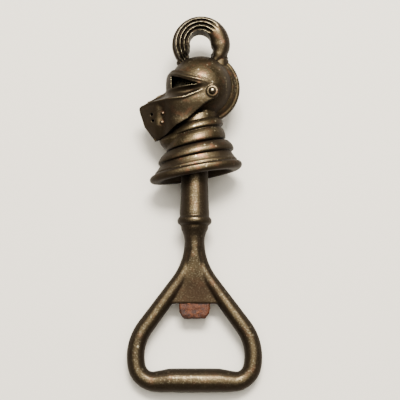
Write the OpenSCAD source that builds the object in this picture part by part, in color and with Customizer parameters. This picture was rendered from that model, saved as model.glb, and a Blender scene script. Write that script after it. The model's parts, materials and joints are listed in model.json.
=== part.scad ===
// Hand bottle opener with a knight's helmet for a handle.
// It lies on its back on a table: +X to the back of the helmet, +Y from the
// loop to the hanging eye, +Z up. It rests on the loop's bar and on the rim of
// the collar, so every piece is drawn on a straight axis and then leaned.

/* [Loop] */
// Width of the loop across its widest place
loop_w = 49.4; // [44:0.2:60]
// Height of the widest place above the bar's underside
wide_y = 13; // [12:0.5:16]
// Radius of the round bar that goes over the cap
bar_r = 4.35; // [3.6:0.05:4.6]
// Length of the bar's straight middle
bar_flat = 20; // [14:0.5:22]
// Radius of the round rod at the loop's corners
rod_r = 3.3; // [2.8:0.05:3.7]
// Radius of the rod where the arms meet the neck
arm_r = 2.85; // [2.6:0.05:3.2]
// Outer radius of the loop's lower corners
corner_r = 10; // [9:0.25:11.5]
// Outer radius of the loop's sides
side_r = 21.3; // [19:0.1:24]
// Outer radius of the hollow shoulders under the neck
shoulder_r = 22.2; // [18:0.2:26]
// Height of the web's lower edge
web_y = 32; // [30:0.25:36]
// Thickness of the web at its lower edge
web_t = 4.6; // [3.6:0.1:5.6]

/* [Tooth] */
// Width of the tooth where it leaves the web
tooth_w = 11.3; // [8:0.1:13]
// Width of the tooth's lip
tooth_lip_w = 8; // [6:0.1:9]
// Length of the tooth below the web
tooth_reach = 5.5; // [4:0.1:6.5]
// Thickness of the tooth
tooth_t = 3; // [2.2:0.1:3.4]
// Length of the tooth inside its pocket
tooth_root = 6; // [4:0.25:7]

/* [Stem] */
// Height of the narrowest place of the neck
neck_y = 55; // [54:0.5:60]
// Radius of the neck
neck_r = 3.7; // [3.2:0.05:4.4]
// Radius of the stem above the bead
stem_r = 5.2; // [4.4:0.05:5.8]
// Radius of the bead
bead_r = 6.3; // [5.9:0.05:7.2]
// Height of the bead's rim
bead_y = 62.3; // [61:0.1:66]
// Radius of the tang that passes up through the castings
tang_r = 2.5; // [2:0.05:3]

/* [Collar] */
// Height of the collar's flange above the bar's underside
flange_y = 80.4; // [76:0.2:84]
// Radius of the flange, front to back
flange_r = 17.4; // [15:0.2:19]
// Half the flange's depth, side to side
flange_z = 11.5; // [10.5:0.25:13]
// Thickness of the flange's round lip
flange_t = 3.3; // [2.6:0.1:3.8]
// Tilt of the collar's rings, higher at the back
ring_tilt = 10; // [6:0.5:12]
// Clearance between pieces that slide over each other when assembled
fit_gap = 0.1; // [0.05:0.01:0.2]

/* [Helmet] */
// Radius of the skull in side view
skull_r = 11.9; // [11:0.1:13]
// Half the skull's width over its radius
skull_flat = 0.85; // [0.8:0.01:0.95]
// Wall of the skull
skull_wall = 1.6; // [1.2:0.1:2]
// Height of the comb above the skull at the back
comb_h = 2.8; // [1.5:0.1:3.5]
// Thickness of the comb
comb_t = 3; // [2:0.1:4]
// Radius of the neck rings in side view
neck_ring_r = 10.6; // [9.8:0.1:11.4]

/* [Visor] */
// Gap between the skull and the visor
visor_gap = 0.35; // [0.3:0.05:0.5]
// Wall of the visor
visor_wall = 0.85; // [0.7:0.05:1.1]
// Radius of each rivet's shank
rivet_r = 1; // [0.8:0.05:1.2]
// Radial running clearance of the visor on its rivets
rivet_gap = 0.05; // [0.02:0.01:0.08]
// Radius of a breath hole
breath_r = 0.6; // [0.4:0.05:0.8]

/* [Plume] */
// Outer radius of the plume's curl
plume_r = 10.9; // [10:0.1:12]
// Thickness of the plume, side to side
plume_t = 10; // [8:0.25:12]
// Radius of the hanging eye's bore
eye_r = 3.9; // [3:0.05:4.4]

/* [Hidden] */
$fn = 64;

// ---- loop: two tangent arcs, a straight arm and a hollow shoulder each side.
// Each rod is a little thinner than the one before it and laps into its end.
joint_step = 0.06;
joint_lap = 0.3;
side_c = [loop_w / 2 - side_r, wide_y];
side_rod_r = rod_r - joint_step;
side_path = side_r - rod_r;
shoulder_c = [neck_r + shoulder_r - 0.15, neck_y];
shoulder_path = shoulder_r + arm_r;
span = shoulder_c - side_c;
arm_angle = atan2(span[1], span[0]) - acos((side_path + shoulder_path) / norm(span));
arm_start = side_c + side_path * [cos(arm_angle), sin(arm_angle)];
arm_end = shoulder_c - shoulder_path * [cos(arm_angle), sin(arm_angle)];
corner_lift = 0.65;
corner_y = corner_r + corner_lift;
corner_x = side_c[0] + sqrt(pow(side_r - corner_r, 2) - pow(corner_y - wide_y, 2));
corner_path = corner_r - rod_r;
corner_end = atan2(corner_y - wide_y, corner_x - side_c[0]);

// ---- web and tooth
web_top = neck_y - 7;
web_neck_t = 6.4;
web_inset = 2.2;
pocket_gap = 0.02;
tooth_root_w = tooth_w - 2.4;
tooth_tip_y = web_y - tooth_reach;
tooth_chamfer = 1.1;
anchor_r = 1.2;

// ---- stem, collar and the stack that the nut clamps
bead_flat = 0.9;
stem_top = flange_y + 3.6;
collar_x = 0.5;
collar_flat = flange_z / flange_r;
recess_r = flange_r - 5;
recess_depth = 2.6;
recess_taper = 4;
step_y = flange_y + 2.2;
step_r = flange_r - 2.6;
step_t = 3;
ring_d_r = flange_r - 3.2;
ring_d_y = flange_y + 5;
ring_d_t = 4.4;
ring_c_r = flange_r - 4.8;
ring_c_y = flange_y + 7.9;
ring_c_t = 3.4;
seat_y = flange_y + 9.6;
floor_top = seat_y + 4;
washer_t = 0.8;
washer_r = 4.9;
nut_h = 4;
nut_across = 8;
tang_top = floor_top + washer_t + nut_h + 0.9;
neck_hollow_r = 6.8;
neck_hollow_h = 4.5;
neck_passage_r = 5.1;

// ---- helmet. skull_side is how far out its side stands at a place on it.
function skull_side(r, reach) = skull_flat * sqrt(r * r - reach * reach);
skull_c = [2.2, seat_y + 22.3];
comb_c = skull_c + [1.3, -0.2];
comb_outer = skull_r + comb_h - 1.3;
comb_from = -62;
comb_to = 45;
pivot = skull_c + [4.3, -3.5];
pivot_reach = norm(pivot - skull_c);
ear_r = 2.6;
ear_in = skull_side(skull_r, pivot_reach - ear_r) + fit_gap;
ear_t = 1.1;
ear_out = ear_in + ear_t;
rivet_head_r = 1.5;
rivet_tail_r = rivet_r + 0.4;
rivet_tail_h = 0.6;
rivet_in = skull_side(skull_r - skull_wall, pivot_reach + rivet_tail_r) - 0.05;
visor_edge_r = 1.5;
chin_r = 1.6;
chin_half = 6;
// each neck ring's rise above the seat, its shift back, growth and thickness
neck_flat = 0.8;
neck_rings = [[1.5, 0, 0, 3.4], [4.6, 0, 0.1, 3.6], [8, 0.3, -0.6, 4.4],
              [10.7, 0.7, -2, 5]];
beak_tip = skull_c + [-21.6, -7.4];

// ---- plume
plume_c = [2.4, skull_c[1] + 16.1];
plume_round = 3.4;
eye_c = plume_c + [-0.4, 1.2];
root_top = plume_c + [7.4, 3.6];
root_foot = plume_c + [9, -3.6];
root_r = 2.6;
spigot_r = 2;
peen_y = skull_c[1] + skull_r - skull_wall - 0.5;
peen_t = 0.9;

// ---- how it lies: tangent to the table at the bar and at the flange's rim
lip_z = flange_t / 2 * collar_flat;
rest_run = [flange_y - bar_r, flange_z - lip_z];
lean = atan2(rest_run[1], rest_run[0]) - asin((bar_r - lip_z) / norm(rest_run));
end_low = bar_r * cos(lean) - bar_r;
end_high = (plume_c[1] + plume_r - plume_round) * cos(lean) + plume_round
           + (plume_t / 2 - plume_round) * sin(lean);

// Lays a piece drawn on the straight axis down on the table.
module lie() {
    translate([0, -(end_low + end_high) / 2, bar_r * (1 - sin(lean))])
        rotate([lean, 0, 0]) children();
}

// Turns a solid drawn along +Z so that it runs along +Y.
module along_y(x, y) {
    translate([x, y, 0]) rotate([-90, 0, 0]) children();
}

// A solid drawn around +Z, set across the helmet at a place on its side view.
module across(place, z = 0) {
    translate([place[0], place[1], z]) children();
}

// One rod of the loop bent around a centre, from one angle to another. It laps
// into the thicker rod before it, which is at its first angle, or at its last.
module bent_rod(centre, path, r, from, to, lap_last = false) {
    lap = joint_lap / path * 180 / PI;
    translate([centre[0], centre[1], 0])
        rotate([0, 0, lap_last ? from : from - lap])
            rotate_extrude(angle = to - from + lap) translate([path, 0]) circle(r);
}

// A straight rod between two places in the loop's plane, lapping at its start.
module straight_rod(from, to, r1, r2) {
    run = to - from;
    translate([from[0], from[1], 0])
        rotate([0, 0, atan2(run[1], run[0])])
            rotate([0, 90, 0]) translate([0, 0, -joint_lap])
                cylinder(h = norm(run) + joint_lap, r1 = r1, r2 = r2);
}

module loop_side() {
    straight_rod([bar_flat / 2, bar_r], [corner_x, corner_lift + rod_r],
                 bar_r - joint_step, rod_r + joint_step);
    bent_rod([corner_x, corner_y], corner_path, rod_r, -90, corner_end);
    bent_rod(side_c, side_path, side_rod_r, corner_end, arm_angle);
    straight_rod(arm_start, arm_end, side_rod_r - joint_step, arm_r + joint_step);
    bent_rod(shoulder_c, shoulder_path, arm_r, 180, 180 + arm_angle, true);
}

// Half the outline of the plate that fills the top of the loop.
function web_side() = [
    [0, web_y],
    [tooth_w / 2 + 1.2, web_y],
    [tooth_w / 2 + 2.4, web_y - 0.3],
    arm_start + (arm_end - arm_start) * 0.38,
    arm_end,
    [arm_r, web_top],
    [0, web_top]
];

module web() {
    for (side = [0, 1])
        mirror([side, 0, 0]) {
            translate([0, 0, -web_t / 2])
                linear_extrude(web_t) polygon(web_side());
            translate([0, 0, -web_neck_t / 2])
                linear_extrude(web_neck_t)
                    polygon([[0, arm_end[1] - 3], [arm_end[0] - web_inset, arm_end[1] - 1],
                             [arm_r, web_top], [0, web_top]]);
        }
}

module tooth_pocket(gap) {
    translate([-tooth_root_w / 2 - gap, web_y - 1, -tooth_t / 2 - gap])
        cube([tooth_root_w + 2 * gap, tooth_root + 1 + gap, tooth_t + 2 * gap]);
}

// The profile of the neck, the bead and the stem, as [radius, height].
function stem_profile() = [
    [0, web_top - 2],
    [neck_r - 0.5, web_top - 2],
    [neck_r - 0.1, neck_y - 2],
    [neck_r, neck_y],
    [neck_r + 0.25, neck_y + 1.6],
    [(neck_r + bead_r) / 2 - 0.4, bead_y - 4],
    [stem_r + 0.2, bead_y - 1.9],
    [bead_r, bead_y - bead_flat / 2],
    [bead_r, bead_y + bead_flat / 2],
    [stem_r, bead_y + 2.4],
    [stem_r, stem_top],
    [tang_r, stem_top],
    [tang_r, tang_top - 0.5],
    [tang_r - 0.5, tang_top],
    [0, tang_top]
];

module opener_frame() {
    color("#6b5d45") lie() difference() {
        union() {
            straight_rod([-bar_flat / 2, bar_r], [bar_flat / 2, bar_r], bar_r, bar_r);
            loop_side();
            mirror([1, 0, 0]) loop_side();
            web();
            along_y(0, 0) rotate_extrude() polygon(stem_profile());
        }
        tooth_pocket(pocket_gap);
    }
}

// Steel tooth: a plate with a chamfered lip, and a hole that anchors its root.
module crown_tooth() {
    half = tooth_w / 2;
    lip = tooth_lip_w / 2;
    color("#8a4a1f") lie() difference() {
        union() {
            translate([0, 0, -tooth_t / 2]) linear_extrude(tooth_t)
                polygon([[-half, web_y - pocket_gap], [-half, tooth_tip_y + 2.2],
                         [-lip, tooth_tip_y], [lip, tooth_tip_y],
                         [half, tooth_tip_y + 2.2], [half, web_y - pocket_gap]]);
            tooth_pocket(0);
        }
        translate([0, tooth_tip_y, -tooth_t / 2]) rotate([45, 0, 0])
            cube([tooth_w + 2, tooth_chamfer, tooth_chamfer], center = true);
        across([0, web_y + tooth_root / 2], -tooth_t)
            cylinder(r = anchor_r, h = 2 * tooth_t);
    }
}

// One ring of the collar or neck: a disc with a round lip, oval and tilted.
module ring(x, y, r, t, flat) {
    translate([x, y, 0]) rotate([0, 0, ring_tilt]) scale([1, 1, flat])
        rotate([90, 0, 0]) rotate_extrude() union() {
            translate([0, -t / 2]) square([r - t / 2, t]);
            translate([r - t / 2, 0]) circle(t / 2);
        }
}

// Everything above or below the tilted seat where helmet and collar meet.
module seat_side(up) {
    size = 80;
    translate([collar_x, seat_y, 0]) rotate([0, 0, ring_tilt])
        translate([-size / 2, up ? 0 : -size, -size / 2]) cube(size);
}

module collar() {
    color("#7a6a4e") lie() difference() {
        union() {
            ring(collar_x, flange_y, flange_r, flange_t, collar_flat);
            ring(collar_x, step_y, step_r, step_t, collar_flat);
            ring(collar_x, ring_d_y, ring_d_r, ring_d_t, collar_flat + 0.03);
            ring(collar_x, ring_c_y, ring_c_r, ring_c_t, collar_flat + 0.06);
        }
        seat_side(true);
        // the hollow underside, and the socket for the stem's top
        translate([collar_x, flange_y - flange_t / 2 - 0.01, 0])
            rotate([0, 0, ring_tilt]) scale([1, 1, collar_flat])
                rotate([-90, 0, 0])
                    cylinder(h = recess_depth, r1 = recess_r, r2 = recess_r - recess_taper);
        along_y(0, flange_y - 10) cylinder(r = stem_r + fit_gap, h = stem_top - flange_y + 10);
        along_y(0, stem_top - 1) cylinder(r = tang_r + fit_gap, h = 20);
    }
}

// The skull's oval body: a ball of this radius in side view, narrower across.
// Its poles stand where the spigot and the neck go through it.
module skull(r) {
    across(skull_c) scale([1, 1, skull_flat]) rotate([90, 0, 0]) sphere(r);
}

// The same body in conical steps, for the pieces that bear on the skull.
module stepped_skull(r) {
    across(skull_c) rotate_extrude()
        polygon([for (a = [-90:6:90]) [r * cos(a), skull_flat * r * sin(a)]]);
}

// The raised ridge over the middle of the skull, round the back.
module comb() {
    across(comb_c, -comb_t / 2) rotate([0, 0, comb_from])
        rotate_extrude(angle = comb_to - comb_from)
            translate([skull_r - 3, 0]) square([comb_outer - skull_r + 3, comb_t]);
}

// The chin guard in front of the neck, below the visor.
module chin() {
    hull() {
        across([-11.4, seat_y + 0.4]) sphere(chin_r, $fn = 16);
        across([-8.6, seat_y - 1.2]) sphere(chin_r, $fn = 16);
        for (z = [-1, 1], y = [0.6, 4.6])
            across([-3, seat_y + y], z * chin_half) sphere(chin_r, $fn = 16);
    }
}

// What the face opening removes from the skull, in side view.
function face_outline() = [
    skull_c + [-16, 3.4],
    skull_c + [-1, -0.9],
    skull_c + [0.4, -4],
    skull_c + [-3.4, -12.2],
    skull_c + [-9, -15.3],
    skull_c + [-16, -17]
];

module helmet_bowl() {
    color("#71634a") lie() difference() {
        union() {
            skull(skull_r);
            comb();
            for (place = neck_rings)
                ring(collar_x + place[1], seat_y + place[0], neck_ring_r + place[2],
                     place[3], neck_flat);
            chin();
        }
        seat_side(false);
        skull(skull_r - skull_wall);
        // the nut's hollow, and the passage to it from the skull
        along_y(0, floor_top) cylinder(r = neck_hollow_r, h = neck_hollow_h);
        along_y(0, floor_top) cylinder(r = neck_passage_r, h = 12);
        along_y(0, seat_y - 5) cylinder(r = tang_r + fit_gap, h = 20);
        across([0, 0], -20) linear_extrude(40) polygon(face_outline());
        for (side = [0, 1]) mirror([0, 0, side])
            across(pivot) cylinder(r = rivet_r + pocket_gap, h = 20);
        along_y(plume_c[0], skull_c[1]) cylinder(r = spigot_r + pocket_gap, h = 20);
    }
}

// The visor's beak as balls along its edges: a smaller inset gives its inside.
module beak(inset) {
    r = visor_edge_r - inset;
    hull() {
        across(beak_tip + [r + inset, 0]) sphere(r, $fn = 24);
        across(skull_c + [-17, -17.2]) sphere(r, $fn = 24);
        across(skull_c + [-14.5, -20]) sphere(r, $fn = 24);
        for (z = [-1, 1]) {
            across(skull_c + [-7, -6.5], z * 9.4) sphere(r, $fn = 24);
            across(skull_c + [1, -5.2], z * 9.2) sphere(r, $fn = 24);
            across(skull_c + [-5, -16], z * 8) sphere(r, $fn = 24);
            across(skull_c + [1, -9], z * 8.4) sphere(r, $fn = 24);
        }
    }
}

// The visor's side view, which trims the brow, the cheeks and the lower edge.
function visor_outline() = [
    skull_c + [-10.6, 6.1],
    skull_c + [-14.5, 4.6],
    skull_c + [-14, -2],
    beak_tip + [-1, 0],
    skull_c + [-19, -16],
    skull_c + [-16.4, -21.5],
    skull_c + [-13, -19.4],
    skull_c + [-9, -15.8],
    skull_c + [-5, -13.6],
    skull_c + [1.8, -8.2],
    pivot + [0.4, -ear_r + 0.4],
    pivot + [1, 0],
    pivot + [-1.4, ear_r + 1.6]
];

// The wedge-shaped sight on each side of the nasal strip.
function sight_outline() = [
    skull_c + [-14, 3.4],
    skull_c + [-9.8, 3],
    skull_c + [-0.6, -0.9],
    skull_c + [-9.8, -1.4],
    skull_c + [-14, -1.4]
];

module visor() {
    breaths = [skull_c + [-17.5, -12], skull_c + [-17.2, -14.2], skull_c + [-13.2, -12],
               skull_c + [-13.4, -15]];
    color("#8b7d60") lie() difference() {
        union() {
            intersection() {
                union() {
                    stepped_skull(skull_r + visor_gap + visor_wall);
                    beak(0);
                }
                across([0, 0], -20) linear_extrude(40) polygon(visor_outline());
            }
            for (side = [0, 1]) mirror([0, 0, side])
                across(pivot, ear_in) cylinder(r = ear_r, h = ear_t);
        }
        stepped_skull(skull_r + visor_gap);
        beak(visor_wall);
        for (side = [0, 1]) mirror([0, 0, side]) {
            across([0, 0], 1.5) linear_extrude(20) polygon(sight_outline());
            across(pivot) cylinder(r = ear_r + 0.2, h = ear_in);
            across(pivot) cylinder(r = rivet_r + rivet_gap, h = 20);
            for (place = breaths)
                across(place) cylinder(r = breath_r, h = 20);
        }
    }
}

// A rivet with a domed head outside and a peened tail inside the skull.
module rivet() {
    seat = ear_out + fit_gap;
    color("#b8a98a") across(pivot) rotate_extrude() polygon(concat(
        [[0, rivet_in - rivet_tail_h], [rivet_tail_r, rivet_in - rivet_tail_h],
         [rivet_tail_r, rivet_in], [rivet_r, rivet_in], [rivet_r, seat]],
        [for (a = [0:15:90]) [rivet_head_r * cos(a), seat + rivet_head_r * sin(a)]]));
}

module visor_rivet_left() {
    lie() rivet();
}

module visor_rivet_right() {
    lie() mirror([0, 0, 1]) rivet();
}

// The curl of the plume, rounded at both faces.
module plume_curl() {
    across(plume_c) rotate_extrude() {
        translate([0, -plume_t / 2]) square([plume_r - plume_round, plume_t]);
        translate([0, plume_round - plume_t / 2])
            square([plume_r, plume_t - 2 * plume_round]);
        for (z = [-1, 1])
            translate([plume_r - plume_round, z * (plume_t / 2 - plume_round)])
                circle(plume_round);
    }
}

// The spigot through the skull, with its end peened over inside.
module plume_spigot() {
    along_y(plume_c[0], 0) rotate_extrude()
        polygon([[0, peen_y - peen_t], [spigot_r + 0.8, peen_y - peen_t],
                 [spigot_r + 0.8, peen_y], [spigot_r, peen_y],
                 [spigot_r, skull_c[1] + skull_r + 1], [0, skull_c[1] + skull_r + 1]]);
}

module plume_eye() {
    color("#6f6046") lie() {
        difference() {
            union() {
                plume_curl();
                across(root_top) sphere(root_r);
                straight_rod(root_top, root_foot, root_r - 0.1, root_r - 0.5);
            }
            across(eye_c, -plume_t) cylinder(r = eye_r, h = 2 * plume_t);
            skull(skull_r + pocket_gap);
        }
        plume_spigot();
    }
}

module tang_washer() {
    color("#9a8c6c") lie() along_y(0, floor_top) difference() {
        cylinder(r = washer_r, h = washer_t);
        translate([0, 0, -1]) cylinder(r = tang_r + fit_gap, h = washer_t + 2);
    }
}

module tang_nut() {
    color("#8f8266") lie() along_y(0, floor_top + washer_t) difference() {
        cylinder(d = nut_across / cos(30), h = nut_h, $fn = 6);
        translate([0, 0, -1]) cylinder(r = tang_r, h = nut_h + 2);
    }
}

opener_frame();
crown_tooth();
collar();
helmet_bowl();
visor();
visor_rivet_left();
visor_rivet_right();
plume_eye();
tang_washer();
tang_nut();
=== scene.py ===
"""A hand bottle opener with a knight's helmet for a handle, cast in brass.

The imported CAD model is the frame. Every visible casting is drawn again here as
it would leave the mould, in millimetres on the opener's straight axis, and is
then laid down on the table exactly as the CAD lies.
"""

import json
import math

import bmesh
import bpy
from mathutils import Matrix, Vector, noise


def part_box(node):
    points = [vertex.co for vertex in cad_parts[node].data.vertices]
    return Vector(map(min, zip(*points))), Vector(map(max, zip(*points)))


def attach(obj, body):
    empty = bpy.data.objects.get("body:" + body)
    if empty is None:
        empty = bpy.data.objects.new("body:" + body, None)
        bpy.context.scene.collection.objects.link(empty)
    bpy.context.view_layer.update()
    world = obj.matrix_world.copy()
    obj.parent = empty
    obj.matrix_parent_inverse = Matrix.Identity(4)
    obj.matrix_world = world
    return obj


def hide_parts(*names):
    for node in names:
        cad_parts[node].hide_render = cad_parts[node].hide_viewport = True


bl_info = {
    "name": "Helmet Bottle Opener",
    "version": (1, 0, 0),
    "blender": (4, 5, 0),
    "location": "View3D > Sidebar > Opener",
    "description": "Builds a cast helmet bottle opener around its CAD frame",
    "category": "Add Mesh",
}

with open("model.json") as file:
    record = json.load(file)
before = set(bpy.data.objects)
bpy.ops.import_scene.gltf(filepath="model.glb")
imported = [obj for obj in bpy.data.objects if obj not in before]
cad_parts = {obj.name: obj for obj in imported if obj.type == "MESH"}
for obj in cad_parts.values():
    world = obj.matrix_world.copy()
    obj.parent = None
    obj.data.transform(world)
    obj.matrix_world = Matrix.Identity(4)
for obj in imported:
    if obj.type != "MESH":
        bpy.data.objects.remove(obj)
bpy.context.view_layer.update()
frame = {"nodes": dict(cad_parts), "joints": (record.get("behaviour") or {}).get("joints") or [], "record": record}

MM = 0.001
# how far a cutter reaches to either side of the opener's middle
CUTTER_REACH = 20
FIXED_BODY = "opener"
VISOR_BODY = "visor"

# ---- how the opener lies, from the eye's axis and the loop's end
BAR_R = 4.35
EYE = frame["record"]["mounts"][0]
LEAN = math.atan2(-EYE["axis"][1], EYE["axis"][2])
LOOP_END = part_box("opener_frame")[0].y / MM
LIE = (
    Matrix.Scale(MM, 4)
    @ Matrix.Translation((0, LOOP_END + BAR_R * (1 - math.cos(LEAN)), BAR_R * (1 - math.sin(LEAN))))
    @ Matrix.Rotation(LEAN, 4, "X")
)
UNLIE = LIE.inverted()


def on_axis(place):
    """A place in the frame, in metres, as millimetres on the straight axis."""
    return UNLIE @ Vector(place)


# ---- loop, neck and stem
LOOP_HALF = (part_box("opener_frame")[1].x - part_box("opener_frame")[0].x) / MM / 2
WIDE_Y = 13
ROD_R = 3.3
ARM_R = 2.85
CORNER_R = 10
CORNER_LIFT = 0.65
SIDE_R = 21.3
SHOULDER_R = 22.2
NECK_Y = 55
NECK_R = 3.7
WEB_Y = 32
TOOTH_HALF = 5.65
TOOTH_TIP = 26.5

# ---- collar and neck rings: tilted ovals on one upright axis
RING_TILT = math.radians(10)
NECK_TILT_GAIN = math.radians(5)
NECK_RISE = 18
COLLAR_X = 0.5
FLANGE_Y = 80.4
SEAT_Y = 90
FLANGE_R = 17.4
FLANGE_HALF_T = 1.65
FLANGE_FLAT = 11.5 / FLANGE_R

# ---- helmet
PIVOT = on_axis(frame["joints"][0]["pos_m"])
SKULL = Vector((2.2, 112.3, 0))
SKULL_R = 11.9
SKULL_FLAT = 0.85
SKULL_WALL = 1.6
COMB = Vector((3.5, 112.1, 0))
COMB_R = 13.4
VISOR_R = 13.1
VISOR_WALL = 0.85
RIVET_HEAD_R = 1.4
RIVET_SHANK = 4.2

# ---- plume
EYE_C = on_axis(EYE["pos_m"])
EYE_R = EYE["dims"]["r_mm"]
PLUME = Vector((2.4, 128.4, 0))


# ---- stage
TABLE_HALF = 1500
AIM = Vector((2.0, 70.1, 0))
CAMERA_DISTANCE = 0.42
CAMERA_ELEVATION = math.radians(77.5)
# how much of the table the camera's width takes in, in metres
FRAME_WIDTH = 0.1475
LAMP_SIZE = (0.34, 0.2)
LAMP_OFFSET = Vector((0.05, 0.36, 0.75))
# the way to the brightest part of the room
SKY_BRIGHT = Vector((0.05, 0.3, 0.95))


# =========================================================== properties


class OPENER_PG_shape(bpy.types.PropertyGroup):
    casting_grain: bpy.props.FloatProperty(
        name="Casting grain",
        description="Size of the smallest detail in the castings, as a share of the built-in one",
        default=1,
        min=0.7,
        max=4,
    )
    flute_depth: bpy.props.FloatProperty(
        name="Flute depth",
        description="Depth of the plume's flutes, in millimetres",
        default=0.85,
        min=0,
        max=1.2,
    )
    lamp_strength: bpy.props.FloatProperty(
        name="Key light",
        description="Power of the key light, in watts",
        default=15,
        min=0,
        subtype="POWER",
    )


class OPENER_PG_colours(bpy.types.PropertyGroup):
    brass: bpy.props.StringProperty(
        name="Brass", description="Patinated brass, as an sRGB hex value", default="564932"
    )
    # the dark patina colour, used for the dark sand grain and for the painted shade on the flanks
    brass_dark: bpy.props.StringProperty(
        name="Dark patina", description="Patina in the hollows, as an sRGB hex value", default="20170d"
    )
    brass_worn: bpy.props.StringProperty(
        name="Worn brass", description="Brass rubbed bright, as an sRGB hex value", default="c4b795"
    )
    copper: bpy.props.StringProperty(
        name="Copper tint", description="Reddish patina patches, as an sRGB hex value", default="7c4f38"
    )
    rust: bpy.props.StringProperty(
        name="Rust", description="Rust on the steel tooth, as an sRGB hex value", default="4c2409"
    )
    table: bpy.props.StringProperty(
        name="Table", description="The pale table top, as an sRGB hex value", default="ede6d8"
    )


# =========================================================== mesh tools


def new_piece(name, bm):
    """A mesh object from a bmesh that is drawn in millimetres."""
    bmesh.ops.recalc_face_normals(bm, faces=bm.faces)
    mesh = bpy.data.meshes.new(name)
    bm.to_mesh(mesh)
    bm.free()
    piece = bpy.data.objects.new(name, mesh)
    bpy.context.scene.collection.objects.link(piece)
    return piece


def settle(piece):
    """Applies a piece's modifiers to its mesh."""
    deps = bpy.context.evaluated_depsgraph_get()
    mesh = bpy.data.meshes.new_from_object(piece.evaluated_get(deps))
    piece.modifiers.clear()
    old = piece.data
    piece.data = mesh
    bpy.data.meshes.remove(old)


def loft(bm, rings, closed=True, capped=True):
    """Skins a list of point rings. closed joins each ring's ends to each other."""
    rows = [[bm.verts.new(p) for p in ring] for ring in rings]
    count = len(rows[0])
    last = count if closed else count - 1
    for row, above in zip(rows, rows[1:]):
        for i in range(last):
            j = (i + 1) % count
            bm.faces.new((row[i], row[j], above[j], above[i]))
    if capped:
        bm.faces.new(rows[0])
        bm.faces.new(rows[-1])


def turned(bm, profile, place, axis="Y", steps=64, squash=1.0):
    """Turns a profile of (radius, height) about an axis through a place."""
    turn = {
        "Y": Matrix.Rotation(math.radians(-90), 4, "X"),
        "Z": Matrix.Identity(4),
    }[axis]
    rings = []
    for radius, height in profile:
        ring = []
        for i in range(steps):
            a = 2 * math.pi * i / steps
            p = Vector((radius * math.cos(a), radius * math.sin(a) * squash, height))
            ring.append(Vector(place) + (turn @ p))
        rings.append(ring)
    loft(bm, rings)


def ball(bm, place, radius, flat=1.0):
    """A ball, or with flat below one an oval body that is thinner along Z."""
    scale = Matrix.Diagonal((1, 1, flat, 1))
    bmesh.ops.create_uvsphere(
        bm, u_segments=64, v_segments=40, radius=radius, matrix=Matrix.Translation(place) @ scale
    )


def arc(centre, radius, start, end, count):
    """Points on an arc in the opener's plane, angles in degrees."""
    points = []
    for i in range(count + 1):
        a = math.radians(start + (end - start) * i / count)
        points.append(Vector((centre[0] + radius * math.cos(a), centre[1] + radius * math.sin(a), 0)))
    return points


def blend_keys(keys, at):
    """A value between (place, value) keys, eased in and out of each one."""
    if at <= keys[0][0]:
        return keys[0][1]
    for (a, va), (b, vb) in zip(keys, keys[1:]):
        if at <= b:
            t = (at - a) / (b - a)
            return va + (vb - va) * t * t * (3 - 2 * t)
    return keys[-1][1]


def straight_keys(keys, at):
    """A value between (place, value) keys, joined by straight lines."""
    if at <= keys[0][0]:
        return keys[0][1]
    for (a, va), (b, vb) in zip(keys, keys[1:]):
        if at <= b:
            return va + (vb - va) * (at - a) / (b - a)
    return keys[-1][1]


def rod(bm, path, wide, deep, steps=32):
    """Sweeps an oval along a path in the opener's plane.

    wide and deep give the oval's half sizes from the share of the path's length
    that is behind it.
    """
    lengths = [0.0]
    for a, b in zip(path, path[1:]):
        lengths.append(lengths[-1] + (b - a).length)
    rings = []
    for i, point in enumerate(path):
        ahead = path[min(i + 1, len(path) - 1)] - path[max(i - 1, 0)]
        side = Vector((-ahead.y, ahead.x, 0)).normalized()
        share = lengths[i] / lengths[-1]
        ring = []
        for k in range(steps):
            a = 2 * math.pi * k / steps
            ring.append(
                point + side * math.cos(a) * wide(share) + Vector((0, 0, math.sin(a) * deep(share)))
            )
        rings.append(ring)
    loft(bm, rings)


def prism(outline, low, high):
    """A cutter: an outline in the opener's plane, between two heights."""
    bm = bmesh.new()
    loft(bm, [[Vector((x, y, z)) for x, y in outline] for z in (low, high)])
    return bm


def fused(piece, voxel):
    """Adds the step that makes overlapping solids one skin."""
    step = piece.modifiers.new("one_skin", "REMESH")
    step.mode = "VOXEL"
    step.voxel_size = voxel
    step.use_smooth_shade = True


def cast(name, bm, cutters=(), voxel=0.2, soften=2):
    """Fuses the solids in a bmesh into one casting and cuts it.

    The edges are then rubbed down, as a sand casting's are. voxel is the size
    of the smallest detail, in millimetres, and soften is the number of passes.
    """
    voxel *= bpy.context.scene.opener_shape.casting_grain
    piece = new_piece(name, bm)
    fused(piece, voxel)
    tools = [new_piece(f"{name}_cutter", cutter) for cutter in cutters]
    for tool in tools:
        cut = piece.modifiers.new("cut", "BOOLEAN")
        cut.operation = "DIFFERENCE"
        cut.solver = "EXACT"
        cut.object = tool
    if tools:
        fused(piece, voxel)
    rub = piece.modifiers.new("rubbed_down", "SMOOTH")
    rub.factor = 0.5
    rub.iterations = soften
    settle(piece)
    for tool in tools:
        bpy.data.objects.remove(tool)
    return piece


def finish_piece(piece, body, material, slot, *nodes):
    """Lays a piece down in the frame, gives it its material, hangs it on its body and hides the frame parts it
    stands for.
    """
    piece.data.transform(LIE)
    piece.data.materials.clear()
    piece.data.materials.append(bpy.data.materials[material])
    for face in piece.data.polygons:
        face.use_smooth = True
    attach(piece, body)
    if nodes:
        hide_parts(*nodes)


# =========================================================== materials

# colours that are not in the panel, as sRGB hex values
DUSKY_BRASS = "382e1e"
# painted shade for the web by the tooth
WEB_PAINTED_SHADE = "2e1f12"
# patina and painted shade in concave creases
GROOVE_DARK = "1a120a"
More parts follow.
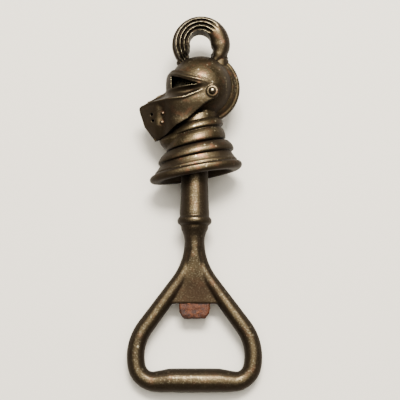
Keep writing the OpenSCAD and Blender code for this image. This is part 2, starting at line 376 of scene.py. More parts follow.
# painted shade for hollows, undersides and the gaps between parts
PAINTED_SHADE_DARK = "0c0805"
RUST_DARK = "2a1208"
RUST_BRIGHT = "8c4a12"
RUST_SHADE = "160a05"
TURNED_LIGHT = "a58f5c"
TURNED_DARK = "7d6a42"
TABLE_CLOUD = "eae2d3"
SKY = "f1efe9"
# roughness of brass that keeps its patina
MATT_ROUGH = (0.62, 0.62, 0.62, 1.0)


def linear(hex_value):
    """An sRGB hex value as a linear colour."""
    channels = [int(hex_value[i : i + 2], 16) / 255 for i in (0, 2, 4)]
    return [c / 12.92 if c <= 0.04045 else ((c + 0.055) / 1.055) ** 2.4 for c in channels] + [1.0]


def add(tree, kind, links=None, values=None, **settings):
    """Adds a node, sets it up and links its inputs from other nodes' outputs."""
    node = tree.nodes.new(kind)
    for key, value in settings.items():
        setattr(node, key, value)
    for key, value in (values or {}).items():
        node.inputs[key].default_value = value
    for key, source in (links or {}).items():
        tree.links.new(source, node.inputs[key])
    return node


def new_material(name):
    """A material with an empty node tree, and that tree."""
    material = bpy.data.materials.new(name)
    material.use_nodes = True
    material.node_tree.nodes.clear()
    return material, material.node_tree


def ramp(tree, source, stops):
    """A ramp of (place, grey) stops."""
    node = add(tree, "ShaderNodeValToRGB", {"Fac": source})
    elements = node.color_ramp.elements
    while len(elements) < len(stops):
        elements.new(0.5)
    for element, (place, grey) in zip(elements, stops):
        element.position = place
        element.color = (grey, grey, grey, 1)
    return node.outputs["Color"]


def mix(tree, factor, a, b, mode="MIX"):
    """A colour mix of two values, each a constant or another node's output."""
    node = add(tree, "ShaderNodeMix", data_type="RGBA", blend_type=mode)
    for key, value in (("Factor", factor), ("A", a), ("B", b)):
        sockets = [s for s in node.inputs if s.name == key and s.enabled]
        if hasattr(value, "node"):
            tree.links.new(value, sockets[0])
        else:
            sockets[0].default_value = value
    return [s for s in node.outputs if s.enabled][0]


def antique_brass(name, tint=0.35, polish=0.0, speckle=0.1, flank_shade_stops=(0.5, 0.8, 0.96), painted_shade_patch=None):
    """Sand-cast brass with a dark chemical patina, handled for years.

    The hollows, the gaps between parts and the undersides are near black, from
    patina and painted shade; edges are rubbed to bare metal, and reddish copper
    shows in patches. tint is how much of the copper shows, polish takes roughness
    away where hands rub most, and speckle is how strongly the sand grain of the
    mould shows. flank_shade_stops says how nearly upright a face's normal must be
    before the painted shade on its flanks clears: shaded, half, clear.
    painted_shade_patch is the centre and the radius, in metres, of a patch of
    painted shade.
    """
    colours = bpy.context.scene.opener_colours
    material, tree = new_material(name)
    place = add(tree, "ShaderNodeTexCoord").outputs["Object"]

    def grain(size_mm, detail, lacunarity=2.0):
        return add(
            tree,
            "ShaderNodeTexNoise",
            {"Vector": place},
            {"Scale": 1 / (size_mm * MM), "Detail": detail, "Lacunarity": lacunarity},
        ).outputs["Fac"]

    clouds = grain(9, 3)
    blotches = grain(3.2, 4)
    sand = grain(0.55, 3)
    pits = add(
        tree, "ShaderNodeTexVoronoi", {"Vector": place}, {"Scale": 1 / (1.1 * MM), "Randomness": 1.0}
    ).outputs["Distance"]
    wear = add(tree, "ShaderNodeNewGeometry").outputs["Pointiness"]
    hollow = add(tree, "ShaderNodeAmbientOcclusion", values={"Distance": 5.5 * MM}, samples=8)
    outward = add(tree, "ShaderNodeTexCoord").outputs["Normal"]
    facing = add(tree, "ShaderNodeSeparateXYZ", {"Vector": outward})
    out = add(tree, "ShaderNodeMath", {0: facing.outputs["Z"]}, operation="ABSOLUTE").outputs["Value"]

    base = mix(tree, ramp(tree, clouds, ((0.35, 0), (0.68, 1))), linear(colours.brass), linear(DUSKY_BRASS))
    base = mix(tree, ramp(tree, blotches, ((0.54, 0), (0.7, tint))), base, linear(colours.copper))
    base = mix(tree, ramp(tree, sand, ((0.54, 0), (0.68, speckle))), base, linear(colours.brass_worn))
    base = mix(tree, ramp(tree, sand, ((0.34, speckle * 1.4), (0.47, 0))), base, linear(colours.brass_dark))
    rubbed = ramp(tree, wear, ((0.515, 0), (0.58, 0.6)))
    base = mix(tree, rubbed, base, linear(colours.brass_worn))
    # painted shade: faces that turn away from straight up or down are darkened to the dark patina colour, as if
    # the light missed the flanks
    flank_shade = ramp(tree, out, ((flank_shade_stops[0], 0.97), (flank_shade_stops[1], 0.8), (flank_shade_stops[2], 0)))
    base = mix(tree, flank_shade, base, linear(colours.brass_dark))
    # painted shade: a dark patch on the web by the tooth, where the web's face turns away from the light
    if painted_shade_patch:
        centre, radius = painted_shade_patch
        away = add(
            tree, "ShaderNodeVectorMath", {0: place}, {1: centre}, operation="DISTANCE"
        ).outputs["Value"]
        share = add(tree, "ShaderNodeMath", {0: away}, {1: radius}, operation="DIVIDE").outputs["Value"]
        base = mix(tree, ramp(tree, share, ((0.3, 0.8), (1.0, 0))), base, linear(WEB_PAINTED_SHADE))
    # patina and painted shade: concave creases are darkened
    deep = ramp(tree, wear, ((0.44, 0.95), (0.495, 0)))
    base = mix(tree, deep, base, linear(GROOVE_DARK))
    # painted shade: the occlusion mask darkens hollows, undersides and the gaps between parts nearly to black
    hollow_shade = ramp(tree, hollow.outputs["AO"], ((0.3, 1), (0.85, 0)))
    base = mix(tree, hollow_shade, base, linear(PAINTED_SHADE_DARK))
    matt = mix(tree, 1.0, flank_shade, hollow_shade, "LIGHTEN")

    rough = add(
        tree,
        "ShaderNodeMapRange",
        {"Value": blotches},
        {"From Min": 0.3, "From Max": 0.7, "To Min": 0.24 - polish, "To Max": 0.36 - polish},
    ).outputs["Result"]
    low = add(
        tree, "ShaderNodeBump", {"Height": blotches}, {"Strength": 0.5, "Distance": 0.12 * MM}
    ).outputs["Normal"]
    bump = add(
        tree,
        "ShaderNodeBump",
        {"Height": sand, "Normal": low},
        {"Strength": 0.55, "Distance": 0.07 * MM},
    ).outputs["Normal"]
    pitted = add(
        tree,
        "ShaderNodeBump",
        {"Height": ramp(tree, pits, ((0.05, 0), (0.22, 1))), "Normal": bump},
        {"Strength": 0.3, "Distance": 0.05 * MM},
    ).outputs["Normal"]
    shader = add(
        tree,
        "ShaderNodeBsdfPrincipled",
        {"Base Color": base, "Roughness": mix(tree, matt, rough, MATT_ROUGH), "Normal": pitted},
        {"Metallic": 0.85},
    )
    add(tree, "ShaderNodeOutputMaterial", {"Surface": shader.outputs["BSDF"]})
    return material


def rusted_steel(name):
    """A plain steel insert that has lost its plating: rough orange and brown rust."""
    colours = bpy.context.scene.opener_colours
    material, tree = new_material(name)
    place = add(tree, "ShaderNodeTexCoord").outputs["Object"]
    scale = add(
        tree, "ShaderNodeTexNoise", {"Vector": place}, {"Scale": 1 / (1.5 * MM), "Detail": 6.0}
    ).outputs["Fac"]
    grit = add(
        tree, "ShaderNodeTexNoise", {"Vector": place}, {"Scale": 1 / (0.4 * MM), "Detail": 4.0}
    ).outputs["Fac"]
    base = mix(tree, ramp(tree, scale, ((0.38, 1), (0.6, 0))), linear(colours.rust), linear(RUST_DARK))
    base = mix(tree, ramp(tree, grit, ((0.55, 0), (0.75, 0.7))), base, linear(RUST_BRIGHT))
    # painted shade: occlusion darkens the tooth where the web and loop hem it in
    hollow = add(tree, "ShaderNodeAmbientOcclusion", values={"Distance": 1.5 * MM}, samples=8)
    base = mix(tree, ramp(tree, hollow.outputs["AO"], ((0.3, 0.9), (0.8, 0))), base, linear(RUST_SHADE))
    bump = add(
        tree, "ShaderNodeBump", {"Height": grit}, {"Strength": 0.9, "Distance": 0.16 * MM}
    ).outputs["Normal"]
    bump = add(
        tree, "ShaderNodeBump", {"Height": scale, "Normal": bump}, {"Strength": 0.8, "Distance": 0.25 * MM}
    ).outputs["Normal"]
    shader = add(
        tree,
        "ShaderNodeBsdfPrincipled",
        {"Base Color": base, "Normal": bump},
        {"Metallic": 0.15, "Roughness": 0.72},
    )
    add(tree, "ShaderNodeOutputMaterial", {"Surface": shader.outputs["BSDF"]})
    return material


def turned_brass(name):
    """Bar brass turned on a lathe: fine rings around the axis, clean and yellow."""
    material, tree = new_material(name)
    place = add(tree, "ShaderNodeTexCoord").outputs["Object"]
    rings = add(
        tree,
        "ShaderNodeTexNoise",
        {"Vector": place},
        {"Scale": 1 / (0.3 * MM), "Detail": 2.0},
    ).outputs["Fac"]
    base = mix(tree, rings, linear(TURNED_LIGHT), linear(TURNED_DARK))
    bump = add(tree, "ShaderNodeBump", {"Height": rings}, {"Strength": 0.3, "Distance": 0.03 * MM})
    shader = add(
        tree,
        "ShaderNodeBsdfPrincipled",
        {"Base Color": base, "Normal": bump.outputs["Normal"]},
        {"Metallic": 1.0, "Roughness": 0.35},
    )
    add(tree, "ShaderNodeOutputMaterial", {"Surface": shader.outputs["BSDF"]})
    return material


# =========================================================== operators


# the rod's radius along one side of the loop, by its share of the way
ROD_SIZES = ((0, BAR_R), (0.12, BAR_R), (0.28, ROD_R), (0.62, 3.15), (0.8, ARM_R))
# half the web's thickness, by height: in its middle and beside the arms
WEB_MIDDLE = ((32, 1.75), (38, 2.2), (44, 3.0), (49, 3.6), (53, 3.7))
WEB_SIDE = ((32, 1.8), (38, 2.1), (44, 2.6), (50, 3.2))
# the turned neck, bead and stem: radius and height
STEM_PROFILE = (
    (2.6, 44), (3.3, 49), (NECK_R - 0.08, 52.5), (NECK_R, 55), (3.9, 56.6), (4.4, 58.1),
    (4.95, 59.4), (5.15, 60.3), (5.1, 60.75), (5.7, 60.95), (6.25, 61.5), (6.38, 62.3),
    (6.2, 63.1), (5.75, 63.55), (5.4, 63.7), (5.45, 64.3), (5.5, 65.2), (5.3, 67.5),
    (5.1, 72), (5.0, 77), (5.0, 84),
)
# the tooth: height, half width and half thickness
TOOTH_LEVELS = (
    (WEB_Y + 1.5, 5.2, 1.4), (WEB_Y, TOOTH_HALF, 1.5), (30.2, 5.6, 1.62), (28.9, 5.45, 1.66),
    (27.9, 4.9, 1.62), (27.1, 4.35, 1.45), (TOOTH_TIP + 0.2, 4.1, 1.1), (TOOTH_TIP, 3.8, 0.7),
)
# its section: a flat bar with its corners taken off
TOOTH_SECTION = (
    (-1, -0.7), (-0.9, -1), (0, -1), (0.9, -1), (1, -0.7),
    (1, 0.7), (0.9, 1), (0, 1.04), (-0.9, 1), (-1, 0.7),
)


def side_path():
    """The middle of one side of the loop, from the bar up to the neck."""
    side = Vector((LOOP_HALF - SIDE_R, WIDE_Y, 0))
    side_run = SIDE_R - ROD_R
    shoulder = Vector((NECK_R + SHOULDER_R, NECK_Y, 0))
    shoulder_run = SHOULDER_R + ARM_R
    span = shoulder - side
    turn = math.degrees(
        math.atan2(span.y, span.x) - math.acos((side_run + shoulder_run) / span.length)
    )
    corner_y = CORNER_R + CORNER_LIFT
    corner_x = side.x + math.sqrt((SIDE_R - CORNER_R) ** 2 - (corner_y - WIDE_Y) ** 2)
    corner_turn = math.degrees(math.atan2(corner_y - WIDE_Y, corner_x - side.x))
    path = [Vector((x, BAR_R, 0)) for x in (-2, 0, 3, 6)]
    path += [Vector((9, BAR_R, 0)), Vector((12, BAR_R - 0.3, 0))]
    path += arc((corner_x, corner_y), CORNER_R - ROD_R, -88, corner_turn, 18)
    path += arc(side, side_run, corner_turn, turn, 18)[1:]
    path += arc(shoulder, shoulder_run, 180 + turn, 180, 18)
    return path


def arm_x(y):
    """How far out the middle of the loop's arm is at a height."""
    path = side_path()
    for a, b in zip(path, path[1:]):
        if a.y <= y <= b.y and a.x > 0.5 and y > WIDE_Y:
            return a.x + (b.x - a.x) * (y - a.y) / max(b.y - a.y, 1e-6)
    return NECK_R - ARM_R


class OPENER_OT_loop(bpy.types.Operator):
    """Casts the loop, its web, the neck, the bead and the stem"""

    bl_idname = "opener.loop"
    bl_label = "Loop and stem"

    def execute(self, context):
        bm = bmesh.new()
        path = side_path()

        def wide(share):
            return blend_keys(ROD_SIZES, share)

        for mirror in (1, -1):
            rod(bm, [Vector((p.x * mirror, p.y, 0)) for p in path], wide, wide, steps=40)
        # the web: the neck's round top spreads between the arms and slopes down to the tooth
        rings = []
        for i in range(33):
            y = WEB_Y + (NECK_Y - 2 - WEB_Y) * i / 32
            half = max(arm_x(y) + 0.5, 0.6)
            middle = straight_keys(WEB_MIDDLE, y)
            side = blend_keys(WEB_SIDE, y)
            top = []
            for k in range(-6, 7):
                u = k / 6
                top.append((u, side + (middle - side) * (1 - u * u) ** 0.8))
            ring = [Vector((half * u, y, z)) for u, z in top]
            ring += [Vector((half * u, y, -z)) for u, z in reversed(top)]
            rings.append(ring)
        loft(bm, rings)
        turned(bm, STEM_PROFILE, (0, 0, 0))
        piece = cast("loop_and_stem_casting", bm, voxel=0.32, soften=4)
        finish_piece(piece, FIXED_BODY, "antique_brass_loop", "antique_brass", "opener_frame")
        return {"FINISHED"}


class OPENER_OT_tooth(bpy.types.Operator):
    """Forges the rusty steel tooth under the web"""

    bl_idname = "opener.tooth"
    bl_label = "Cap tooth"

    def execute(self, context):
        bm = bmesh.new()
        rings = []
        for y, half, thick in TOOTH_LEVELS:
            rings.append([Vector((half * u, y, thick * v)) for u, v in TOOTH_SECTION])
        loft(bm, rings)
        piece = cast("rusted_steel_tooth", bm, voxel=0.16)
        for vert in piece.data.vertices:
            rough = noise.noise(vert.co * 0.7) * 0.3 + noise.noise(vert.co * 2.2) * 0.12
            vert.co += vert.normal * (rough - 0.08)
        finish_piece(piece, FIXED_BODY, "rusted_steel_insert", "rusted_steel", "crown_tooth")
        return {"FINISHED"}


def tilted_rings(bm, profile, flat_low, flat_high, steps=96):
    """Skins tilted ovals: (radius, rise above the flange's plane) for each."""
    rings = []
    top = profile[-1][1]
    for radius, rise in profile:
        flat = flat_low + (flat_high - flat_low) * max(0, min(1, rise / top))
        tilt = RING_TILT + NECK_TILT_GAIN * max(0, rise) / NECK_RISE
        ring = []
        for i in range(steps):
            a = 2 * math.pi * i / steps
            across = radius * math.cos(a)
            ring.append(
                Vector(
                    (
                        COLLAR_X + across * math.cos(tilt),
                        FLANGE_Y + rise + across * math.sin(tilt),
                        radius * flat * math.sin(a),
                    )
                )
            )
        rings.append(ring)
    loft(bm, rings)


# the collar: (radius, rise) under the flange's rim, and over it
COLLAR_UNDER = ((5.2, 2.6), (8, 2.2), (11, 0.6), (12.6, -1.0), (13.6, -1.6), (15, -1.65))
COLLAR_OVER = (
    (15.5, 2.3), (14.7, 3.1), (14.0, 4.1), (13.5, 5.0), (13.3, 5.3), (13.9, 5.45), (14.3, 5.75),
    (14.35, 6.2), (14.0, 7.2), (13.3, 8.2), (12.4, 9.1), (11.9, 9.4), (10.9, 9.7), (8, 9.7),
)


def plate_edge(radius, low, high, roll):
    """A rolled edge of a plate: a half round from its underside to its top."""
    points = []
    middle = (low + high) / 2
    for i in range(7):
        a = math.radians(-90 + 180 * i / 6)
        points.append((radius - roll + roll * math.cos(a), middle + (high - low) / 2 * math.sin(a)))
    return points


class OPENER_OT_collar(bpy.types.Operator):
    """Casts the bell collar with its lapped plates"""

    bl_idname = "opener.collar"
    bl_label = "Collar"

    def execute(self, context):
        bm = bmesh.new()
        profile = [*COLLAR_UNDER, *plate_edge(FLANGE_R, -FLANGE_HALF_T, FLANGE_HALF_T, 1.9), *COLLAR_OVER]
        tilted_rings(bm, profile, FLANGE_FLAT, FLANGE_FLAT + 0.1)
        piece = cast("collar_casting", bm, voxel=0.22)
        finish_piece(piece, FIXED_BODY, "antique_brass_collar", "antique_brass", "collar")
        return {"FINISHED"}


# half of the comb's section: radius and half thickness
COMB_SECTION = (
    (9.4, 3.2), (10.9, 2.7), (11.6, 2.1), (12.0, 1.55), (12.7, 1.45), (13.1, 1.2),
    (13.35, 0.7), (COMB_R, 0),
)
# the neck plates above the collar: radius and rise
NECK_PLATES = (
    (9.0, 9.65), (10.6, 9.75), (10.8, 10.0), (11.25, 10.35), (11.35, 10.9), (11.15, 12.1),
    (10.7, 13.3), (10.1, 14.2), (9.3, 14.7), (9.2, 14.9), (10.1, 15.1), (10.45, 15.5),
    (10.4, 16.1), (10.0, 17.1), (9.3, 17.9), (8.7, 18.3), (8.2, 21),
)
# the chin guard: height, its front, its back and half its width
CHIN_LEVELS = (
    (87.6, -9.6, -6, 2.4), (89.0, -10.9, -4, 4.6), (90.6, -12.5, -2, 6.2),
    (92.2, -13.2, -1, 7.0), (94.4, -10.6, 0, 7.4), (96.8, -6.6, 1, 7.6),
)
# the opening in the skull's face, and the dark wall behind the sights
FACE_OPENING = (
    (-14, 118.4), (-8.5, 116.6), (2.3, 112.2), (3.2, 109.6), (0.2, 106), (-4.2, 102.2),
    (-8.4, 99.6), (-12, 97.4),
)
FACE_WALL = ((-9.3, 109), (-9.3, 116.0), (-7, 118), (3, 117), (3, 107.5), (-3, 106), (-8.6, 107))
FACE_WALL_HALF = 1.2
# the hollow that the nut is reached through: radius and height
WELL = ((6.8, SEAT_Y + 4), (6.8, SEAT_Y + 8.5), (5.1, SEAT_Y + 8.6), (5.1, SEAT_Y + 15))


def comb_rings(start, end, count):
    """The comb's cross-sections, round the back of the skull."""
    section = [*COMB_SECTION, *((r, -z) for r, z in reversed(COMB_SECTION[:-1]))]
    rings = []
    for i in range(count + 1):
        a = math.radians(start + (end - start) * i / count)
        out = Vector((math.cos(a), math.sin(a), 0))
        rings.append([COMB + out * r + Vector((0, 0, z)) for r, z in section])
    return rings


class OPENER_OT_helmet(bpy.types.Operator):
    """Casts the skull with its comb, its neck plates and the chin guard"""

    bl_idname = "opener.helmet"
    bl_label = "Helmet"

    def execute(self, context):
        bm = bmesh.new()
        ball(bm, SKULL, SKULL_R, SKULL_FLAT)
        loft(bm, comb_rings(-64, 74, 80))
        tilted_rings(bm, NECK_PLATES, 0.78, 0.82)
        # chin guard: a keeled plate from the collar up under the visor
        chin = []
        for y, front, back, half in CHIN_LEVELS:
            ring = []
            for i in range(-10, 11):
                s = i / 10
                x = front + (back - front) * s * s
                ring.append(Vector((x, y, half * s * (1.35 - 0.35 * s * s))))
            chin.append(ring)
        loft(bm, chin)
        inside = bmesh.new()
        ball(inside, SKULL, SKULL_R - SKULL_WALL, SKULL_FLAT)
        well = bmesh.new()
        turned(well, WELL, (0, 0, 0))
        opening = prism(FACE_OPENING, -CUTTER_REACH, CUTTER_REACH)
        piece = cast("helmet_casting", bm, cutters=(inside, well, opening), voxel=0.22)
        # the dark face wall behind the sights
        bm = bmesh.new()
        bm.from_mesh(piece.data)
        loft(bm, [[Vector((x, y, z)) for x, y in FACE_WALL] for z in (-FACE_WALL_HALF, FACE_WALL_HALF)])
        bpy.data.objects.remove(piece)
        piece = new_piece("helmet_casting", bm)
        finish_piece(piece, FIXED_BODY, "antique_brass_helmet", "antique_brass", "helmet_bowl")
        return {"FINISHED"}


# The visor's side view as keys of height: where its front edge and its back end are
VISOR_FRONT = ((91.8, -14.6), (94.4, -16.5), (97.3, -18.7), (101.8, -20.2), (103.6, -20.7), (104.7, -20.6),
               (105.3, -19.9), (106.2, -18.4), (107.7, -15.9), (109.2, -13.6), (110.4, -11.2),
               (110.9, -10.75), (115.6, -10.75), (116.9, -10.3), (118.1, -8.1))
VISOR_BACK = ((91.8, -14.5), (93.6, -10.9), (96.6, -6.8), (98.8, -2.8), (104.7, 4.3), (106.6, 8.2),
              (109, 8.9), (111.2, 7.6), (113.6, 4.6), (118.1, -8.0))
VISOR_LOW = 91.85
VISOR_HIGH = 118.05
# the height of the crease where the beak's top turns into its cheeks
VISOR_CREASE = ((-20.9, 104.7), (-16.8, 106.0), (-3.9, 106.9), (4.3, 110.2), (9, 111.5))
CHEEK_X = -3.9
# the ridge over the sights, and the foot of the shell behind the beak
VISOR_BROW = ((-10.8, 117.0), (-3.0, 114.3), (4.3, 112.4))
VISOR_FOOT = ((-20.9, 104.8), (-10.9, 110.6), (4.3, 111.9), (9, 113))
SIGHT = ((-8.5, 115.5), (-3.0, 113.2), (1.6, 111.5), (-3, 111.15), (-8.5, 110.7))
NASAL_HALF = 1.45
BREATHS = ((-15.8, 101.5), (-15.4, 99.2))
BREATH_R = 0.55
STUDS = ((-11.7, 101.6), (-12.0, 98.4))
STUD_R = 0.55


def skull_side(radius, x, y):
    """How far out an oval shell over the skull stands at a place in side view."""
    gap = radius * radius - (x - SKULL.x) ** 2 - (y - SKULL.y) ** 2
    return SKULL_FLAT * math.sqrt(max(gap, 0))


# where the skull's side stands under the rim of the visor's round ears
EAR_R = 2.6
EAR_SEAT = skull_side(SKULL_R, SKULL.x + (PIVOT - SKULL).length - EAR_R, SKULL.y)


def cheek_side(x, y):
    """How far out the visor's cheek stands: a keel, a fold, then the cheek."""
    wide = blend_keys(((90, 6.8), (99, 8.8), (106.9, 10.5)), y)
    front = straight_keys(VISOR_FRONT, min(y, 104.7))
    back = max(0.0, min(1.0, (CHEEK_X - x) / max(CHEEK_X - front, 1e-3)))
    bow = wide * (1 - back**1.7)
    fold = 1.5 * math.exp(-(((x + 11.6) / 1.7) ** 2)) * min(1, max(0, (106.5 - y) / 2.5))
    return max(bow - fold, 0)


def visor_side(x, y):
    """How far out the visor's outside stands at a place in side view."""
    crease = straight_keys(VISOR_CREASE, x)
    rim = 0.4 * math.exp(-(((y - crease + 0.3) / 0.55) ** 2)) * min(1, max(0, (4 - x) / 4))
    if y <= crease:
        return cheek_side(x, y) + rim
    shell = skull_side(VISOR_R, x, y)
    foot = straight_keys(VISOR_FOOT, x)
    if y >= foot:
        brow = straight_keys(VISOR_BROW, x)
        return shell + 0.5 * math.exp(-(((y - brow) / 0.5) ** 2)) * min(1, max(0, (5 - x) / 4))
    share = (y - crease) / max(foot - crease, 1e-3)
    dip = 1.5 * math.sin(math.pi * min(1, share * 1.1)) * min(1, max(0, (3 - x) / 4))
    return cheek_side(x, crease) * (1 - share) + skull_side(VISOR_R, x, foot) * share - dip + rim


class OPENER_OT_visor(bpy.types.Operator):
    """Casts the beaked visor with its sights and breaths"""

    bl_idname = "opener.visor"
    bl_label = "Visor"

    def execute(self, context):
        bm = bmesh.new()
        rows = []
        levels = 96
        half_count = 44
        for i in range(levels + 1):
            y = VISOR_LOW + (VISOR_HIGH - VISOR_LOW) * i / levels
            front = straight_keys(VISOR_FRONT, y)
            back = max(straight_keys(VISOR_BACK, y), front + 0.05)
            row = []
            for k in range(-half_count, half_count + 1):
                s = k / half_count
                x = front + (back - front) * abs(s) ** 1.6
                z = visor_side(x, y) if k else 0
                row.append(Vector((x, y, math.copysign(z, s))))
            rows.append(row)
        loft(bm, rows, closed=False, capped=False)
        sheet = new_piece("visor_sheet", bm)
        wall = sheet.modifiers.new("wall", "SOLIDIFY")
        wall.thickness = VISOR_WALL
        wall.offset = -1
        wall.use_even_offset = False
        settle(sheet)
        bm = bmesh.new()
        bm.from_mesh(sheet.data)
        bpy.data.objects.remove(sheet)
        ear_in = EAR_SEAT + 0.1
        for side in (1, -1):
            for x, y in STUDS:
                ball(bm, Vector((x, y, (visor_side(x, y) + 0.05) * side)), STUD_R)
            profile = [(2.3, ear_in * side), (2.4, (ear_in + 0.2) * side), (2.35, (ear_in + 0.7) * side),
                       (1.9, (ear_in + 1.0) * side)]
            turned(bm, profile, (PIVOT.x, PIVOT.y, 0), axis="Z", steps=40)
        sights = []
        for low, high in ((NASAL_HALF, CUTTER_REACH), (-CUTTER_REACH, -NASAL_HALF)):
            sights.append(prism(SIGHT, low, high))
        breaths = []
        for x, y in BREATHS:
            hole = bmesh.new()
            turned(
                hole, [(BREATH_R, -CUTTER_REACH), (BREATH_R, CUTTER_REACH)], (x, y, 0), axis="Z", steps=20
            )
            breaths.append(hole)
        piece = cast("visor_casting", bm, cutters=(*sights, *breaths))
        finish_piece(piece, VISOR_BODY, "antique_brass_visor", "antique_brass", "visor")
        return {"FINISHED"}


class OPENER_OT_rivets(bpy.types.Operator):
    """Sets the two domed rivets that the visor turns on"""

    bl_idname = "opener.rivets"
    bl_label = "Visor rivets"

    def execute(self, context):
        for name, side in (("visor_rivet_left", 1), ("visor_rivet_right", -1)):
            seat = EAR_SEAT + 1.3
            dome = []
            for i in range(9):
                a = math.radians(90 * i / 8)
                # the small addition keeps the pole's points apart
                dome.append((RIVET_HEAD_R * math.cos(a) + 0.001, (seat + RIVET_HEAD_R * math.sin(a)) * side))
            profile = [(1.0, (seat - RIVET_SHANK) * side), (1.0, seat * side), (1.35, seat * side)] + dome
            bm = bmesh.new()
            turned(bm, profile, (PIVOT.x, PIVOT.y, 0), axis="Z", steps=48)
            piece = new_piece(f"{name}_domed", bm)
            finish_piece(piece, FIXED_BODY, "worn_brass_rivet", "rivet_brass", name)
        return {"FINISHED"}


# the plume's band round the eye, by angle from its foot to its root: the radii of
# its outer and inner edges, and half its thickness
PLUME_FOOT = 238
PLUME_TURN = 290
PLUME_OUTER = (
    (238, 10.0), (215, 10.6), (180, 10.9), (90, 10.9), (40, 10.9), (0, 10.9), (-30, 10.3), (-52, 9.6),
)
PLUME_INNER = (
    (238, 8.3), (222, 6.0), (200, 4.4), (180, 4.0), (90, 4.2), (50, 4.0), (20, 3.7), (0, 3.7),
    (-30, 5.2), (-52, 6.4),
)
PLUME_HALF = (
    (238, 1.4), (225, 3.2), (205, 4.4), (180, 4.9), (90, 5.0), (40, 4.9), (0, 4.4), (-30, 4.0),
    (-52, 3.4),
)
FLUTES = 4.5
# the ribbed socket at its root: radius and height
PLUME_SOCKET = (
    (3.4, 119.5), (3.6, 122.6), (3.1, 123.2), (3.5, 123.7), (2.9, 124.3), (3.3, 124.8), (2.7, 125.4),
    (2.4, 127),
)
SOCKET_X = 9.2


class OPENER_OT_plume(bpy.types.Operator):
    """Casts the fluted plume that curls over into the hanging eye"""

    bl_idname = "opener.plume"
    bl_label = "Plume"

    def execute(self, context):
        depth = context.scene.opener_shape.flute_depth
        bm = bmesh.new()
        rings = []
        for i in range(141):
            angle = PLUME_FOOT - PLUME_TURN * i / 140
            out = Vector((math.cos(math.radians(angle)), math.sin(math.radians(angle)), 0))
            keys = [tuple((-a, v) for a, v in table) for table in (PLUME_OUTER, PLUME_INNER, PLUME_HALF)]
            r_out, r_in, half = (blend_keys(k, -angle) for k in keys)
            fade = blend_keys(((-238, 0.6), (-215, 1), (-70, 1), (-38, 0.0)), -angle)
            ring = []
            steps = 72
            for k in range(steps):
                a = 2 * math.pi * k / steps
                q = (1 - math.cos(a)) / 2
                lift = math.sin(a)
                boxy = 0.75 - 0.35 * q
                body = math.copysign(abs(lift) ** boxy, lift)
                wave = math.cos(2 * math.pi * FLUTES * q) - 0.6
                ripple = 1 + fade * depth / half * wave * min(1, abs(lift) * 2)
                r = r_out + (r_in - r_out) * q
                ring.append(PLUME + out * r + Vector((0, 0, half * body * ripple)))
            rings.append(ring)
        loft(bm, rings)
        # the foot and the ribbed socket, where the plume is rooted in the skull
        turned(bm, PLUME_SOCKET, (SOCKET_X, 0, 0), squash=0.9)
        rod(bm, [Vector((-5.6, 122.6, 0)), Vector((-4.6, 120.8, 0))], lambda s: 1.6, lambda s: 2.2)
        bore = bmesh.new()
        turned(bore, [(EYE_R, -CUTTER_REACH), (EYE_R, CUTTER_REACH)], (EYE_C.x, EYE_C.y, 0), axis="Z")
        skull = bmesh.new()
        ball(skull, SKULL, SKULL_R - 0.6, SKULL_FLAT)
        piece = cast("plume_casting", bm, cutters=(bore, skull))
        finish_piece(piece, FIXED_BODY, "antique_brass_plume", "antique_brass", "plume_eye")
        return {"FINISHED"}


class OPENER_OT_finishes(bpy.types.Operator):
    """Makes the metals, and gives the hidden nut and washer theirs"""

    bl_idname = "opener.finishes"
    bl_label = "Finishes"

    def execute(self, context):
        web = LIE @ Vector((0, WEB_Y + 2.5, 2))
        # each brass gets painted shade on its flanks, and the loop also a patch of painted shade on the web by the
        # tooth
        antique_brass(
            "antique_brass_loop", tint=0.2, speckle=0.22, flank_shade_stops=(0.6, 0.92, 0.992), painted_shade_patch=(web, 11 * MM)
        )
        antique_brass("antique_brass_collar", tint=0.7, flank_shade_stops=(0.5, 0.86, 0.975))
        antique_brass("antique_brass_helmet", tint=0.45, polish=0.03, flank_shade_stops=(0.4, 0.68, 0.9))
        antique_brass("antique_brass_visor", tint=0.4, polish=0.04, flank_shade_stops=(0.5, 0.86, 0.98))
        antique_brass("antique_brass_plume", tint=0.6, flank_shade_stops=(0.5, 0.88, 0.98))
        antique_brass("worn_brass_rivet", tint=0.1, polish=0.15)
        rusted_steel("rusted_steel_insert")
        plain = turned_brass("turned_brass")
        for name in ("tang_nut", "tang_washer"):
            node = frame["nodes"][name]
            node.data.materials.clear()
            node.data.materials.append(plain)
        return {"FINISHED"}


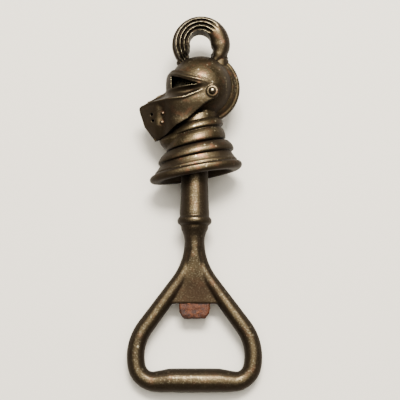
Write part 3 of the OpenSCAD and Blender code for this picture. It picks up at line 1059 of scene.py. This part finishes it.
class OPENER_OT_stage(bpy.types.Operator):
    """Lays the pale table, and sets the light and the camera"""

    bl_idname = "opener.stage"
    bl_label = "Stage"

    def execute(self, context):
        scene = context.scene
        bm = bmesh.new()
        bmesh.ops.create_grid(bm, x_segments=8, y_segments=8, size=TABLE_HALF)
        table = new_piece("table_top", bm)
        table.data.transform(Matrix.Scale(MM, 4))
        material, tree = new_material("painted_table")
        place = add(tree, "ShaderNodeTexCoord").outputs["Object"]
        cloud = add(tree, "ShaderNodeTexNoise", {"Vector": place}, {"Scale": 1 / (60 * MM), "Detail": 3.0})
        base = mix(tree, cloud.outputs["Fac"], linear(scene.opener_colours.table), linear(TABLE_CLOUD))
        shader = add(tree, "ShaderNodeBsdfPrincipled", {"Base Color": base}, {"Roughness": 0.65})
        add(tree, "ShaderNodeOutputMaterial", {"Surface": shader.outputs["BSDF"]})
        table.data.materials.append(material)

        middle = LIE @ AIM
        key = bpy.data.lights.new("window", "AREA")
        key.shape = "RECTANGLE"
        key.size, key.size_y = LAMP_SIZE
        key.energy = scene.opener_shape.lamp_strength
        key.color = (1.0, 0.965, 0.91)
        lamp = bpy.data.objects.new("window", key)
        lamp.location = middle + LAMP_OFFSET
        lamp.rotation_euler = (middle - lamp.location).to_track_quat("-Z", "Y").to_euler()
        scene.collection.objects.link(lamp)

        world = bpy.data.worlds.new("room")
        scene.world = world
        world.use_nodes = True
        tree = world.node_tree
        tree.nodes.clear()
        way = add(tree, "ShaderNodeTexCoord").outputs["Generated"]
        high = SKY_BRIGHT.normalized()
        near = add(tree, "ShaderNodeVectorMath", {0: way}, {1: high}, operation="DOT_PRODUCT")
        bright = add(
            tree,
            "ShaderNodeMapRange",
            {"Value": near.outputs["Value"]},
            {"From Min": 0.6, "From Max": 0.98, "To Min": 0.1, "To Max": 4.2},
            interpolation_type="SMOOTHSTEP",
        )
        sky = add(
            tree,
            "ShaderNodeBackground",
            {"Strength": bright.outputs["Result"]},
            {"Color": linear(SKY)},
        )
        add(tree, "ShaderNodeOutputWorld", {"Surface": sky.outputs["Background"]})

        camera = bpy.data.cameras.new("camera")
        camera.lens = camera.sensor_width * CAMERA_DISTANCE / FRAME_WIDTH
        camera.clip_start = 0.01
        view = bpy.data.objects.new("camera", camera)
        toward = Vector((0, -math.cos(CAMERA_ELEVATION), math.sin(CAMERA_ELEVATION)))
        view.location = middle + toward * CAMERA_DISTANCE
        view.rotation_euler = (-toward).to_track_quat("-Z", "Y").to_euler()
        scene.collection.objects.link(view)
        scene.camera = view
        return {"FINISHED"}


class OPENER_PT_panel(bpy.types.Panel):
    """Lists the opener's settings and the steps that build it"""

    bl_idname = "OPENER_PT_panel"
    bl_label = "Helmet Bottle Opener"
    bl_space_type = "VIEW_3D"
    bl_region_type = "UI"
    bl_category = "Opener"

    def draw(self, context):
        for settings in (context.scene.opener_shape, context.scene.opener_colours):
            for name in settings.__annotations__:
                self.layout.prop(settings, name)
        for step in STEPS:
            self.layout.operator(step.bl_idname)


STEPS = (
    OPENER_OT_finishes,
    OPENER_OT_loop,
    OPENER_OT_tooth,
    OPENER_OT_collar,
    OPENER_OT_helmet,
    OPENER_OT_visor,
    OPENER_OT_rivets,
    OPENER_OT_plume,
    OPENER_OT_stage,
)
CLASSES = (OPENER_PG_shape, OPENER_PG_colours, *STEPS, OPENER_PT_panel)


def register():
    for cls in CLASSES:
        bpy.utils.register_class(cls)
    bpy.types.Scene.opener_shape = bpy.props.PointerProperty(type=OPENER_PG_shape)
    bpy.types.Scene.opener_colours = bpy.props.PointerProperty(type=OPENER_PG_colours)


def unregister():
    del bpy.types.Scene.opener_colours
    del bpy.types.Scene.opener_shape
    for cls in reversed(CLASSES):
        bpy.utils.unregister_class(cls)


def main():
    register()
    for step in STEPS:
        group, name = step.bl_idname.split(".")
        getattr(getattr(bpy.ops, group), name)()


if __name__ == "__main__":
    main()
